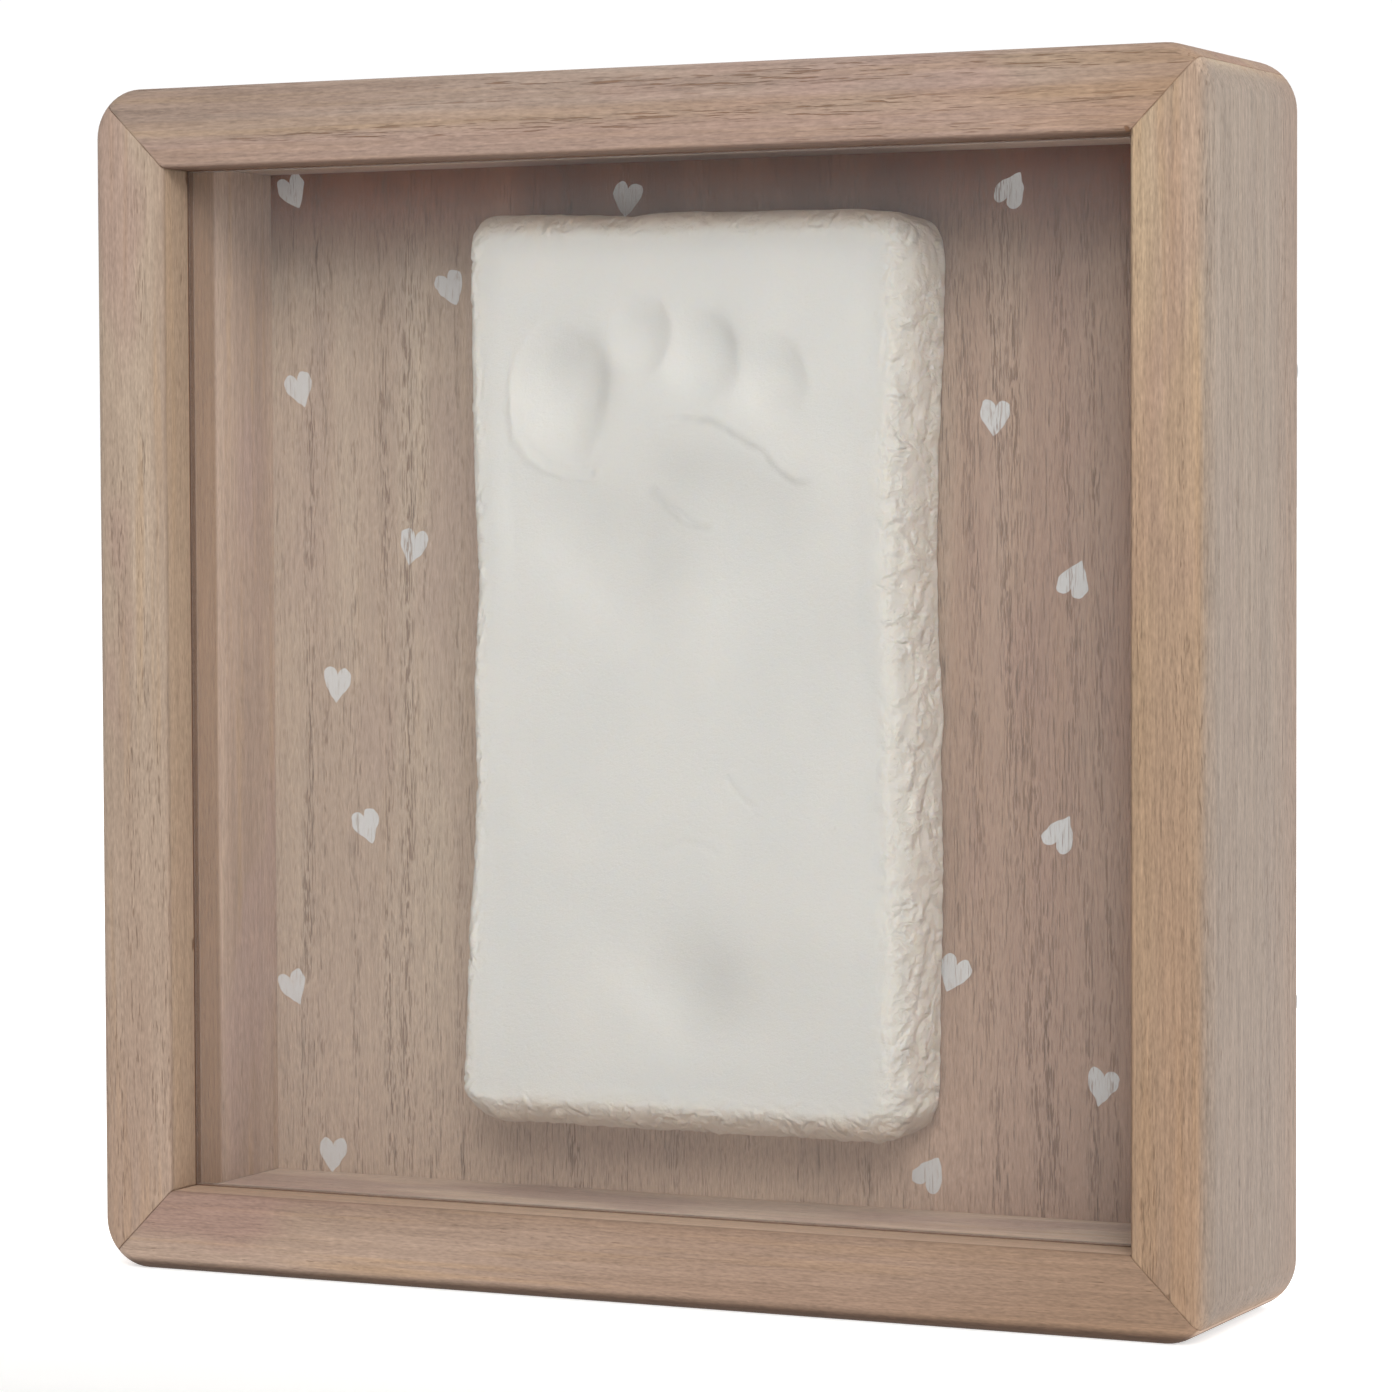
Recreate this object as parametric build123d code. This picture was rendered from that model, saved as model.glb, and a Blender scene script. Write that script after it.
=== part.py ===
from build123d import *
import os
from math import cos, hypot, radians, sin

# A square wooden shadow-box frame that shows a baby's footprint pressed into a slab of white clay.
# X runs to the right as seen from the front, Y runs from the front to the back, Z is up.
# The origin is the middle of the flat underside that the frame stands on. Lengths are millimetres.

os.makedirs("parts", exist_ok=True)

# Wooden rails
frame_width = 170.0
frame_height = 170.0
frame_depth = 35.0
rail_face = 11.5            # width of a rail seen from the front
corner_radius = 7.0         # outer corners, seen from the front
front_edge_round = 1.6
back_edge_round = 1.2
lip_depth = 7.0             # front part of a rail, which holds the pane in from ahead
lip_edge_round = 0.7

# Pane, liner strips and back panel that fill the rebate behind the lip
rebate_clearance = 0.2
pane_thickness = 1.2
liner_thickness = 2.5
liner_setback = 0.8         # the lip overhangs the liner by this much all round
liner_end_gap = 0.3
panel_thickness = 3.0

# Clay slab and the foam pads that stick it to the back panel
slab_width = 67.0
slab_end_margin = 9.5       # between the slab and the rails above and below it, when it is centred
slab_thickness = 15.0
slab_shift = 0.4            # off the middle of the frame, to the right
slab_rise = 2.0             # off the middle of the frame, upwards
slab_corner_radius = 6.5
slab_front_round = 4.0
slab_back_bevel = 1.5
pad_side = 18.0
pad_thickness = 0.8
pad_margin_x = 5.5          # from the slab's edges inwards to the pads
pad_margin_z = 11.0

# Corners of the slab as pressed by hand, then the middle of the side that follows each corner,
# as shares of half the slab's width and height, from the top left corner clockwise
slab_corner_shares = [(-0.985, 1.005), (1.02, 0.99), (1.0, -1.025), (-1.055, -1.025)]
slab_side_shares = [(0.0, 1.0), (0.995, 0.05), (0.05, -1.02), (-0.965, 0.1)]

# Dents of the foot: middle across and up, half width and half height as shares of half the
# slab's width and height, turn in degrees, and depth as a share of the slab's thickness
foot_dent_shares = {
    "big_toe": (-0.56, 0.615, 0.235, 0.16, -10, 0.2),
    "second_toe": (-0.19, 0.735, 0.15, 0.098, -4, 0.12),
    "third_toe": (0.125, 0.695, 0.175, 0.108, 8, 0.135),
    "fourth_toe": (0.44, 0.65, 0.17, 0.096, 16, 0.11),
    "little_toe": (0.68, 0.54, 0.125, 0.074, 24, 0.065),
    "ball": (0.16, 0.41, 0.5, 0.135, -22, 0.11),
    "inner_ball": (-0.27, 0.3, 0.44, 0.18, 0, 0.07),
    "heel": (0.09, -0.65, 0.44, 0.22, 0, 0.11),
}
press_area_shares = (-0.9, 0.9, -0.92, 0.9)     # left, right, bottom, top of the pressed area
press_columns = 40
press_rows = 76
press_rim = 0.25            # the pressing surface stays this far ahead of unmarked clay
press_tolerance = 0.025     # how far the surface may stray from its grid of points

# Wedge nails across the back of the mitres
wedge_nail_wing = 4.0
wedge_nail_leaf = 0.5
wedge_nail_height = 7.0
wedge_nail_margin = 1.2     # from the rebate's corner
wedge_nail_sink = 0.3       # below the back of the rails

# Turn buttons and their screws
button_radius = 3.5         # round end at the screw
button_tip_radius = 2.4
button_reach = 12.0         # from the screw to the middle of the tip
button_thickness = 1.0
button_play = 0.1           # between the button and the wood, and between it and the screw's head
button_spread_z = 86.0      # between the two screws on one rail
screw_radius = 1.3
screw_length = 10.0         # under the head
screw_tip = 2.5
screw_head_radius = 2.7
screw_head_height = 1.6
screw_running_clearance = 0.06
pilot_clearance = 0.05

# Sawtooth hanger and its nails
hanger_length = 40.0
hanger_height = 6.2
hanger_thickness = 0.8
hanger_tab = 7.0            # flat end that the nail holds
hanger_step = 1.5           # slope between a flat end and the raised middle
hanger_lift = 2.0
hanger_corner_radius = 1.2
hanger_tooth_pitch = 2.2
hanger_tooth_depth = 1.5
hanger_edge_gap = 0.4       # from the rebate's edge
brad_radius = 0.7
brad_length = 7.0
brad_tip = 1.4
brad_head_radius = 1.6
brad_head_height = 0.6
brad_clearance = 0.05

overrun = 1.0               # how far every cutter runs past the wood

# Planes and widths that several pieces share
front_y = -frame_depth / 2
back_y = frame_depth / 2
middle_z = frame_height / 2
opening_width = frame_width - 2 * rail_face
opening_height = frame_height - 2 * rail_face
slab_height = opening_height - 2 * slab_end_margin
liner_outset = liner_setback + liner_thickness
rebate_outset = liner_outset + rebate_clearance
rebate_width = opening_width + 2 * rebate_outset
rebate_height = opening_height + 2 * rebate_outset
rail_wall = rail_face - rebate_outset
pane_front_y = front_y + lip_depth
pane_back_y = pane_front_y + pane_thickness
panel_front_y = back_y - panel_thickness
slab_back_y = panel_front_y - pad_thickness
slab_front_y = slab_back_y - slab_thickness
slab_middle_z = middle_z + slab_rise
screw_x = frame_width / 2 - rail_wall / 2
hanger_middle_z = frame_height - rail_wall + hanger_edge_gap + hanger_height / 2


def block(width, height, front, back, centre_x=0.0, centre_z=middle_z):
    """Square-edged solid between two planes across Y."""
    middle = Pos(centre_x, (front + back) / 2, centre_z)
    return middle * Box(width, back - front, height)


def facing(depth_y):
    """Drawing plane seen from the front, X to the right and Z up, at the given depth."""
    return Plane(origin=(0, depth_y, middle_z), x_dir=(1, 0, 0), z_dir=(0, -1, 0))


def wooden_blank():
    """All four rails in one piece, with the rounded outside, the lip and the rebate."""
    blank = block(frame_width, frame_height, front_y, back_y)
    blank = fillet(blank.edges().filter_by(Axis.Y), corner_radius)
    blank = fillet(blank.faces().sort_by(Axis.Y)[0].edges(), front_edge_round)
    blank = fillet(blank.faces().sort_by(Axis.Y)[-1].edges(), back_edge_round)
    blank -= block(opening_width, opening_height, front_y - overrun, back_y + overrun)
    blank -= block(rebate_width, rebate_height, pane_front_y, back_y + overrun)
    front_face = blank.faces().sort_by(Axis.Y)[0]
    return fillet(front_face.inner_wires()[0].edges(), lip_edge_round)


def mitre_wedge(side):
    """Space of one rail: it narrows at 45 degrees from the outer corners inwards."""
    out_x = frame_width / 2 + overrun
    out_z = frame_height / 2 + overrun
    reach = rail_face + 2 * overrun
    in_x = out_x - reach
    in_z = out_z - reach
    outlines = {
        "top": [(-out_x, out_z), (out_x, out_z), (in_x, in_z), (-in_x, in_z)],
        "bottom": [(-out_x, -out_z), (-in_x, -in_z), (in_x, -in_z), (out_x, -out_z)],
        "left": [(-out_x, -out_z), (-out_x, out_z), (-in_x, in_z), (-in_x, -in_z)],
        "right": [(out_x, -out_z), (in_x, -in_z), (in_x, in_z), (out_x, out_z)],
    }
    sketch = facing(0) * Polygon(*outlines[side], align=None)
    return extrude(sketch, frame_depth / 2 + overrun, both=True)


def wedge_nails(nail_back_y):
    """V-shaped nails, one across each mitre, up to the given depth."""
    nail_front_y = back_y - wedge_nail_sink - wedge_nail_height
    start_x = rebate_width / 2 + wedge_nail_margin
    start_z = rebate_height / 2 + wedge_nail_margin
    nails = []
    for side_x in (-1, 1):
        for side_z in (-1, 1):
            along_x = block(
                wedge_nail_wing, wedge_nail_leaf, nail_front_y, nail_back_y,
                side_x * (start_x + wedge_nail_wing / 2),
                middle_z + side_z * (start_z + wedge_nail_leaf / 2),
            )
            along_z = block(
                wedge_nail_leaf, wedge_nail_wing, nail_front_y, nail_back_y,
                side_x * (start_x + wedge_nail_leaf / 2),
                middle_z + side_z * (start_z + wedge_nail_wing / 2),
            )
            nails.append(along_x + along_z)
    return nails


def button_places():
    """Screw position of each turn button and the direction in which it points when closed."""
    places = {}
    for side, side_x in (("left", -1), ("right", 1)):
        for level, side_z in (("upper", 1), ("lower", -1)):
            spot = (side_x * screw_x, middle_z + side_z * button_spread_z / 2)
            places[f"{level}_{side}"] = (spot, -side_x)
    return places


def hanger_nail_places():
    reach = hanger_length / 2 - hanger_tab / 2
    return [(-reach, hanger_middle_z), (reach, hanger_middle_z)]


def shank_hole(spot, radius, length, mouth_y):
    """Round cutter that enters from behind."""
    depth = length + overrun
    centre = Pos(spot[0], mouth_y + overrun - depth / 2, spot[1])
    return centre * Rot(90, 0, 0) * Cylinder(radius, depth)


def fastener(shank_radius, shank_length, tip_length, head_radius, head_height):
    """Pointed fastener with a flat head: the head's underside is at zero, the shank points to -Y."""
    outline = Polyline(
        (0, head_height),
        (0, -shank_length),
        (shank_radius, tip_length - shank_length),
        (shank_radius, 0),
        (head_radius, 0),
        (head_radius, head_height),
        close=True,
    )
    return revolve(make_face(outline), Axis.Y)


def screw():
    return fastener(screw_radius, screw_length, screw_tip, screw_head_radius, screw_head_height)


def brad():
    return fastener(brad_radius, brad_length, brad_tip, brad_head_radius, brad_head_height)


def screws():
    seat_y = back_y + button_thickness + 2 * button_play
    return [Pos(spot[0], seat_y, spot[1]) * screw() for spot, _ in button_places().values()]


def rail(blank, side):
    """One mitred rail, with the pockets of its wedge nails and its pilot holes."""
    piece = blank & mitre_wedge(side)
    for pocket in wedge_nails(back_y + overrun):
        piece -= pocket
    screw_depth = screw_length - button_thickness - 2 * button_play + pilot_clearance
    if side in ("left", "right"):
        for name, (spot, _) in button_places().items():
            if name.endswith(side):
                piece -= shank_hole(spot, screw_radius + pilot_clearance, screw_depth, back_y)
    if side == "top":
        brad_depth = brad_length - hanger_thickness + brad_clearance
        for spot in hanger_nail_places():
            piece -= shank_hole(spot, brad_radius + brad_clearance, brad_depth, back_y)
    return piece


def window_pane():
    width = rebate_width - 2 * rebate_clearance
    height = rebate_height - 2 * rebate_clearance
    return block(width, height, pane_front_y, pane_back_y)


def liner(side):
    """One strip of the liner. The top and bottom strips run right across, the others between them."""
    across = opening_width + 2 * liner_outset
    upright = opening_height + 2 * (liner_setback - liner_end_gap)
    offset_x = opening_width / 2 + liner_setback + liner_thickness / 2
    offset_z = opening_height / 2 + liner_setback + liner_thickness / 2
    if side in ("top", "bottom"):
        level = middle_z + (offset_z if side == "top" else -offset_z)
        return block(across, liner_thickness, pane_back_y, panel_front_y, 0.0, level)
    place_x = offset_x if side == "right" else -offset_x
    return block(liner_thickness, upright, pane_back_y, panel_front_y, place_x)


def back_panel():
    width = rebate_width - 2 * rebate_clearance
    height = rebate_height - 2 * rebate_clearance
    return block(width, height, panel_front_y, back_y)


def adhesive_pads():
    offset_x = slab_width / 2 - pad_margin_x - pad_side / 2
    offset_z = slab_height / 2 - pad_margin_z - pad_side / 2
    pads = []
    for side_x in (-1, 1):
        for side_z in (-1, 1):
            pads.append(block(
                pad_side, pad_side, slab_back_y, panel_front_y,
                slab_shift + side_x * offset_x,
                slab_middle_z + side_z * offset_z,
            ))
    return pads


def slab_point(shares, depth_y):
    """Point of the slab at the given shares of its half width and half height."""
    x = slab_shift + shares[0] * slab_width / 2
    z = slab_middle_z + shares[1] * slab_height / 2
    return Vector(x, depth_y, z)


def clay_blank():
    """The slab before the foot is pressed in: four slightly bowed sides and soft edges."""
    corners = [slab_point(shares, slab_back_y) for shares in slab_corner_shares]
    middles = [slab_point(shares, slab_back_y) for shares in slab_side_shares]
    sides = []
    for index, corner in enumerate(corners):
        following = corners[(index + 1) % len(corners)]
        sides.append(ThreePointArc(corner, middles[index], following))
    outline = Face(Wire(sides))
    outline = outline.fillet_2d(slab_corner_radius, outline.vertices())
    blank = extrude(outline, slab_thickness, dir=(0, -1, 0))
    blank = fillet(blank.faces().sort_by(Axis.Y)[0].edges(), slab_front_round)
    return chamfer(blank.faces().sort_by(Axis.Y)[-1].edges(), slab_back_bevel)


def dent_depth(x, z):
    """How deep the foot pressed the clay at one point of the slab's front."""
    total = 0.0
    for across, up, half_width, half_height, turn, depth in foot_dent_shares.values():
        centre = slab_point((across, up), slab_front_y)
        dx = x - centre.X
        dz = z - centre.Z
        angle = radians(turn)
        along = (dx * cos(angle) + dz * sin(angle)) / (half_width * slab_width / 2)
        beside = (dz * cos(angle) - dx * sin(angle)) / (half_height * slab_height / 2)
        inwards = max(1 - hypot(along, beside), 0)
        total += depth * slab_thickness * inwards ** 2 * (3 - 2 * inwards)
    return total


def foot_press():
    """Solid with the shape of the foot's underside, which is taken out of the clay."""
    left, right, bottom, top = press_area_shares
    grid = []
    for row in range(press_rows):
        up = bottom + (top - bottom) * row / (press_rows - 1)
        line = []
        for column in range(press_columns):
            across = left + (right - left) * column / (press_columns - 1)
            point = slab_point((across, up), slab_front_y)
            depth = dent_depth(point.X, point.Z)
            line.append(Vector(point.X, slab_front_y - press_rim + depth, point.Z))
        grid.append(line)
    sole = Face.make_surface_from_array_of_points(grid, tol=press_tolerance)
    return extrude(sole, slab_thickness, dir=(0, -1, 0))


def turn_button(spot, points_x):
    """Flat steel latch with a hole for its screw, closed over the back panel."""
    seat_y = back_y + button_play
    outline = make_hull(
        Circle(button_radius).edges() + (Pos(button_reach, 0) * Circle(button_tip_radius)).edges()
    )
    plate = extrude(outline - Circle(screw_radius + screw_running_clearance), button_thickness)
    turned = Rot(0, 0, 0 if points_x > 0 else 180) * plate
    upright = Plane(origin=(spot[0], seat_y, spot[1]), x_dir=(-1, 0, 0), z_dir=(0, 1, 0))
    return upright * Rot(0, 0, 180) * turned


def sawtooth_hanger():
    """Pressed steel strip with a raised middle, whose lower edge has the teeth."""
    half = hanger_length / 2
    bend_out = half - hanger_tab
    bend_in = bend_out - hanger_step
    low, high = back_y, back_y + hanger_lift
    under = [
        (-half, low), (-bend_out, low), (-bend_in, high), (bend_in, high), (bend_out, low), (half, low)
    ]
    over = [(x, y + hanger_thickness) for x, y in reversed(under)]
    profile = Plane.XY.offset(hanger_middle_z - hanger_height / 2) * Polygon(*under, *over, align=None)
    strip = extrude(profile, hanger_height)
    end_edges = strip.edges().filter_by(Axis.Y).group_by(Axis.X)
    strip = fillet(end_edges[0] + end_edges[-1], hanger_corner_radius)
    tooth_count = int(2 * bend_in / hanger_tooth_pitch)
    lower_edge = hanger_middle_z - hanger_height / 2 - middle_z
    for index in range(tooth_count):
        x = (index - (tooth_count - 1) / 2) * hanger_tooth_pitch
        notch = Polygon(
            (x - hanger_tooth_pitch / 2, lower_edge),
            (x, lower_edge + hanger_tooth_depth),
            (x + hanger_tooth_pitch / 2, lower_edge),
            align=None,
        )
        strip -= extrude(facing(back_y + hanger_lift + overrun) * notch, 2 * overrun, both=True)
    for spot in hanger_nail_places():
        strip -= shank_hole(spot, brad_radius + brad_clearance, 2 * overrun, back_y + hanger_thickness)
    return strip


def hanger_nails():
    seat_y = back_y + hanger_thickness
    return [Pos(x, seat_y, z) * brad() for x, z in hanger_nail_places()]


def save(name, shape):
    solids = shape if isinstance(shape, list) else [shape]
    flat = [solid for item in solids for solid in item.solids()]
    export_step(flat[0] if len(flat) == 1 else Compound(children=flat), f"parts/{name}.step")


wood = wooden_blank()
for rail_side in ("top", "bottom", "left", "right"):
    save(f"rail_{rail_side}", rail(wood, rail_side))
    save(f"liner_{rail_side}", liner(rail_side))
save("corner_wedge_nails", wedge_nails(back_y - wedge_nail_sink))
save("window_pane", window_pane())
save("back_panel", back_panel())
save("adhesive_pads", adhesive_pads())
save("footprint_slab", clay_blank() - foot_press())
for place_name, (screw_spot, closed_way) in button_places().items():
    save(f"turn_button_{place_name}", turn_button(screw_spot, closed_way))
save("button_screws", screws())
save("sawtooth_hanger", sawtooth_hanger())
save("hanger_nails", hanger_nails())
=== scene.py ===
import math

import bpy
import bmesh
import numpy as np
from mathutils import Matrix, Vector, noise


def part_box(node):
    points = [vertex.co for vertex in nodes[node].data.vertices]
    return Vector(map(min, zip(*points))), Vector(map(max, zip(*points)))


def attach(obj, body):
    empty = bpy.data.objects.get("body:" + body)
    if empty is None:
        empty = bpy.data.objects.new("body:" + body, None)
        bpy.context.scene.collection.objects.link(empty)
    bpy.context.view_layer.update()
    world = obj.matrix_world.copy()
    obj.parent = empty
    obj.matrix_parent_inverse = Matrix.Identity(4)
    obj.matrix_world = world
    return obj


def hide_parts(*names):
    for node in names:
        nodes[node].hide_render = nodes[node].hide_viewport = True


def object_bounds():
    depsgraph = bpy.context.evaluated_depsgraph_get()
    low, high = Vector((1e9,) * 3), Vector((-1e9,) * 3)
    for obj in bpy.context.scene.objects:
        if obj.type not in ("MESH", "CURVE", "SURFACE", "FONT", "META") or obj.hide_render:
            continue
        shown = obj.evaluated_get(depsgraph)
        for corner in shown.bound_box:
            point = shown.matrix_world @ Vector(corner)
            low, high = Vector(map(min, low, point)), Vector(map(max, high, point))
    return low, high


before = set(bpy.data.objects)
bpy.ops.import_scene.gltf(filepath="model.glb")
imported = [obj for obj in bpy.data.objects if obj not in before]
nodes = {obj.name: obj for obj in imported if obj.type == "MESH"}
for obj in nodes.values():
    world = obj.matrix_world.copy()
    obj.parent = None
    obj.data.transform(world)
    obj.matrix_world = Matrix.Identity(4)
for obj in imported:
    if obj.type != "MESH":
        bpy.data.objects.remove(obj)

cadLow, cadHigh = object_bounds()       # box of the CAD model
mm = 0.001
middleHeight = 85.0                 # mm, the middle of the frame


# shader helper: sums on these values add Math nodes to the tree
class Wire:
    def __init__(self, tree, socket=None):
        self.tree = tree
        self.socket = socket

    def node(self, kind, settings=None, inputs=None, output=0):
        made = self.tree.nodes.new(kind)
        for name, value in (settings or {}).items():
            setattr(made, name, value)
        for name, value in (inputs or {}).items():
            if isinstance(value, Wire):
                self.tree.links.new(value.socket, made.inputs[name])
            else:
                made.inputs[name].default_value = value
        return Wire(self.tree, made.outputs[output])

    def maths(self, operation, *others):
        return self.node("ShaderNodeMath", {"operation": operation}, dict(enumerate((self,) + others)))

    def __add__(self, other):
        return self.maths("ADD", other)

    __radd__ = __add__

    def __sub__(self, other):
        return self.maths("SUBTRACT", other)

    def __rsub__(self, other):
        return (self * -1.0).maths("ADD", other)

    def __mul__(self, other):
        return self.maths("MULTIPLY", other)

    __rmul__ = __mul__

    def __abs__(self):
        return self.maths("ABSOLUTE")

    def rise(self, low, high):      # 0 at low, 1 at high, smooth between; low may be the larger
        return self.node("ShaderNodeMapRange", {"interpolation_type": "SMOOTHSTEP"},
                         {"Value": self, "From Min": low, "From Max": high})

    def part(self, name):           # X, Y or Z of a vector
        return self.node("ShaderNodeSeparateXYZ", None, {0: self}, name)

    def vector(self, operation, others=None, output=0):
        inputs = {0: self, **(others or {})}
        return self.node("ShaderNodeVectorMath", {"operation": operation}, inputs, output)

    def stretched(self, x, y, z):
        return self.vector("MULTIPLY", {1: (x, y, z)})

    def moved(self, x, y, z):
        return self.vector("ADD", {1: (x, y, z)})

    def times(self, amount):        # a colour made lighter or darker
        return self.vector("SCALE", {"Scale": amount})

    def length(self):
        return self.vector("LENGTH", output="Value")

    def attribute(self, name):      # a value kept at the points of a mesh
        return self.node("ShaderNodeAttribute", {"attribute_name": name}, None, "Fac")

    def cells(self, scale, output="Distance", feature="F1"):
        return self.node("ShaderNodeTexVoronoi", {"feature": feature},
                         {"Vector": self, "Scale": scale}, output)

    def noise(self, scale=1.0, detail=2.0, roughness=0.5, distortion=0.0):
        return self.node("ShaderNodeTexNoise", None, {
            "Vector": self, "Scale": scale, "Detail": detail,
            "Roughness": roughness, "Distortion": distortion})

    def mixed(self, first, second):     # self is the share of the second colour
        return self.node("ShaderNodeMix", {"data_type": "RGBA"}, {0: self, 6: first, 7: second}, 2)


def shade(red, green, blue):        # screen colour 0-255 to a linear shader colour
    def linear(value):
        value = value / 255
        return value / 12.92 if value <= 0.04045 else ((value + 0.055) / 1.055) ** 2.4
    return (linear(red), linear(green), linear(blue), 1.0)


def newMaterial(name):
    material = bpy.data.materials.new(name)
    material.use_nodes = True
    tree = material.node_tree
    place = Wire(tree).node("ShaderNodeTexCoord", output="Object").stretched(1 / mm, 1 / mm, 1 / mm)
    return material, tree.nodes["Principled BSDF"], place      # place is in millimetres


def plug(principled, **values):     # name=value, with _ for the spaces in a socket's name
    tree = principled.id_data
    for name, value in values.items():
        socket = principled.inputs[name.replace("_", " ")]
        if isinstance(value, Wire):
            tree.links.new(value.socket, socket)
        else:
            socket.default_value = value


def bumped(height, distance):       # distance in mm
    return height.node("ShaderNodeBump", None, {"Height": height, "Distance": distance * mm, "Strength": 1.0})


def giveMaterial(piece, material):
    piece.data.materials.clear()
    piece.data.materials.append(material)


# modelling helpers
sharpAngle = 30                     # degrees, edges bent more than this are broken and shaded sharp


def deselectAll():
    if bpy.context.object and bpy.context.object.mode != "OBJECT":
        bpy.ops.object.mode_set(mode="OBJECT")
    bpy.ops.object.select_all(action="DESELECT")


def pick(piece):
    deselectAll()
    piece.select_set(True)
    bpy.context.view_layer.objects.active = piece


def startEdit(piece, mode="EDGE"):
    pick(piece)
    bpy.ops.object.mode_set(mode="EDIT")
    bpy.ops.mesh.select_mode(type=mode)


def endEdit():
    bpy.ops.object.mode_set(mode="OBJECT")


def applyModifiers(piece):
    pick(piece)
    for modifier in list(piece.modifiers):
        bpy.ops.object.modifier_apply(modifier=modifier.name)


def settle(piece):                  # puts the object's place into its mesh
    pick(piece)
    bpy.ops.object.transform_apply(location=True, rotation=True, scale=True)


def selectFaces(piece, wanted):     # wanted(face middle in mm, normal)
    startEdit(piece, "FACE")
    bpy.ops.mesh.select_all(action="DESELECT")
    shape = bmesh.from_edit_mesh(piece.data)
    for face in shape.faces:
        face.select_set(wanted(face.calc_center_median() / mm, face.normal))
    bmesh.update_edit_mesh(piece.data)


def joined(pieces):
    deselectAll()
    for piece in pieces:
        piece.select_set(True)
    bpy.context.view_layer.objects.active = pieces[0]
    bpy.ops.object.join()
    return bpy.context.object


def mergedCopy(nodeName, name):     # a CAD node's shape as one clean mesh
    piece = nodes[nodeName].copy()
    piece.data = nodes[nodeName].data.copy()
    for key in list(piece.keys()):
        del piece[key]
    piece.parent = None
    bpy.context.scene.collection.objects.link(piece)
    piece.name = name
    startEdit(piece, "VERT")
    bpy.ops.mesh.select_all(action="SELECT")
    bpy.ops.mesh.remove_doubles(threshold=0.002 * mm)
    bpy.ops.mesh.dissolve_limited(angle_limit=math.radians(0.5))
    endEdit()
    return piece


def eased(piece, width, segments=2):    # sharp edges broken by a small bevel
    bevel = piece.modifiers.new("bevel", "BEVEL")
    bevel.width = width * mm
    bevel.segments = segments
    bevel.limit_method = "ANGLE"
    bevel.angle_limit = math.radians(sharpAngle)
    bevel.use_clamp_overlap = True
    applyModifiers(piece)
    smoothed(piece, sharpAngle)


def smoothed(piece, angle):
    pick(piece)
    bpy.ops.object.shade_smooth_by_angle(angle=math.radians(angle))


def place(piece, body, slot, *replaced):
    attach(piece, body)
    if replaced:
        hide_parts(*replaced)


def dress(nodeName, name, bevel, material, slot, body="root"):      # bevel is its width and segments
    piece = mergedCopy(nodeName, name)
    eased(piece, *bevel)
    giveMaterial(piece, material)
    place(piece, body, slot, nodeName)


# camera, floor and light
cameraSettings = {
    "place": (297.19, -616.98, 111.75),     # mm
    "yaw": 0.4457,                          # radians
    "pitch": -0.0415,
    "roll": 0.0042,
    "focal": 4883.9,                        # pixels of the photograph
    "picture": 1392,                        # pixels
    "sensor": 36.0,                         # mm
}


def addCamera(s):
    data = bpy.data.cameras.new("camera")
    data.sensor_width = s["sensor"]
    data.lens = s["sensor"] * s["focal"] / s["picture"]
    data.clip_start = 0.01
    data.clip_end = 100
    camera = bpy.data.objects.new("camera", data)
    bpy.context.scene.collection.objects.link(camera)
    yaw, pitch, roll = s["yaw"], s["pitch"], s["roll"]
    ahead = Vector((-math.sin(yaw) * math.cos(pitch), math.cos(yaw) * math.cos(pitch), math.sin(pitch)))
    right = Vector((math.cos(yaw), math.sin(yaw), 0))
    down = ahead.cross(right)
    tilted = math.cos(roll) * right + math.sin(roll) * down
    below = math.cos(roll) * down - math.sin(roll) * right
    turn = Matrix((tilted, -below, -ahead)).transposed().to_4x4()
    camera.matrix_world = Matrix.Translation(Vector(s["place"]) * mm) @ turn
    bpy.context.scene.camera = camera


stageSettings = {
    "floorSize": 60.0,              # m
    "floorColour": (0.78, 0.78, 0.78, 1.0),
    "glow": 0.9,                    # the floor behind shines, as the sweep of a light table does
    "glowBehind": (-200, 120),      # mm behind the frame's middle where the glow starts and is full
    "glowAway": (1500, 2800),       # mm from the frame's middle, on all sides
    "skyBehind": 1.03,
    "skyAhead": 0.1,
    "skyEdge": (-0.25, 0.1),        # share of the way back where the change starts and ends
    "horizon": (0.08, 0.02),        # sine of the height where the bright band ahead ends
    "boxes": {                      # place in m, size in m, power in W
        "keyLight": ((0.68, -1.53, 1.03), 0.62, 14.4),
        "wideLight": ((1.34, -1.12, 0.9), 1.1, 12.4),
        "topLight": ((0.25, -0.92, 1.73), 1.2, 7.4),
    },
    "boxColour": (1.0, 0.99, 0.97),
}


def addFloor(s):
    deselectAll()
    bpy.ops.mesh.primitive_plane_add(size=s["floorSize"], location=(0, 0, 0))
    floor = bpy.context.object
    floor.name = "floor"
    material, principled, where = newMaterial("floorPaper")
    away = where.length().rise(*s["glowAway"])
    share = where.part("Y").rise(*s["glowBehind"]).maths("MAXIMUM", away)
    glow = share.mixed((0, 0, 0, 1), (1, 1, 1, 1))
    plug(principled, Base_Color=s["floorColour"], Roughness=0.9, Emission_Color=glow,
         Emission_Strength=s["glow"], Specular_IOR_Level=0.1)
    giveMaterial(floor, material)


def addSky(s):
    world = bpy.data.worlds.new("studio")
    world.use_nodes = True
    bpy.context.scene.world = world
    tree = world.node_tree
    heading = Wire(tree).node("ShaderNodeTexCoord", output="Generated")
    share = heading.part("Y").rise(*s["skyEdge"]).maths("MAXIMUM", heading.part("Z").rise(*s["horizon"]))
    glow = share * (s["skyBehind"] - s["skyAhead"]) + s["skyAhead"]
    background = tree.nodes["Background"]
    tree.links.new(glow.socket, background.inputs["Strength"])
    background.inputs["Color"].default_value = (1, 1, 1, 1)


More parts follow.
